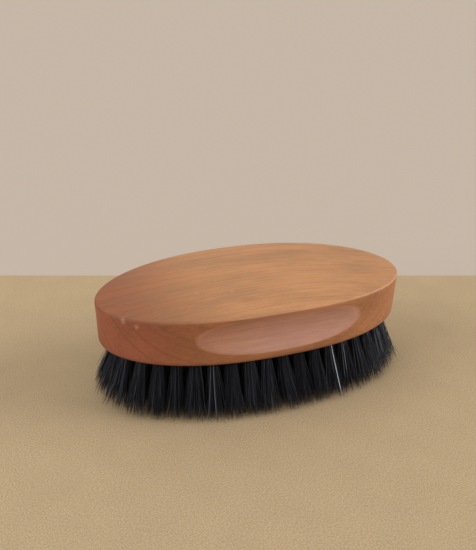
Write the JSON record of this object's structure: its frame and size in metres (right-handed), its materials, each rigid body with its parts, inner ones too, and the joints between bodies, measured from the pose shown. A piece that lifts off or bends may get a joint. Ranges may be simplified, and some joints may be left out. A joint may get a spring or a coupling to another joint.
{
  "type": "clothes brush",
  "caption": "Oval wooden clothes brush with a finger groove along each long side and black boar bristle tufts stapled into drilled holes.",
  "frame": {"origin": "middle of the face that the trimmed bristle tips make, on which the brush rests", "axes": "+X along the brush, +Y across it, +Z from the bristle tips up to the top of the block"},
  "size_m": [0.1478, 0.082, 0.0474],
  "materials": {
    "pearwood": "sanded and waxed pearwood, straight grain along the brush",
    "bristle": "black boar bristle with a soft sheen",
    "staple_wire": "bright drawn steel wire"
  },
  "bodies": {
    "root": {"wooden_block": "pearwood", "outer_ring_tufts_1": "bristle", "outer_ring_tufts_2": "bristle", "outer_ring_tufts_3": "bristle", "outer_ring_tufts_4": "bristle", "outer_ring_tufts_5": "bristle", "outer_ring_tufts_6": "bristle", "outer_ring_tufts_7": "bristle", "outer_ring_tufts_8": "bristle", "outer_ring_staples": "staple_wire", "second_ring_tufts_1": "bristle", "second_ring_tufts_2": "bristle", "second_ring_tufts_3": "bristle", "second_ring_tufts_4": "bristle", "second_ring_tufts_5": "bristle", "second_ring_tufts_6": "bristle", "second_ring_staples": "staple_wire", "third_ring_tufts_1": "bristle", "third_ring_tufts_2": "bristle", "third_ring_tufts_3": "bristle", "third_ring_tufts_4": "bristle", "third_ring_tufts_5": "bristle", "third_ring_tufts_6": "bristle", "third_ring_staples": "staple_wire", "fourth_ring_tufts_1": "bristle", "fourth_ring_tufts_2": "bristle", "fourth_ring_tufts_3": "bristle", "fourth_ring_tufts_4": "bristle", "fourth_ring_staples": "staple_wire", "middle_row_tufts_1": "bristle", "middle_row_tufts_2": "bristle", "middle_row_staples": "staple_wire"}
  },
  "joints": []
}
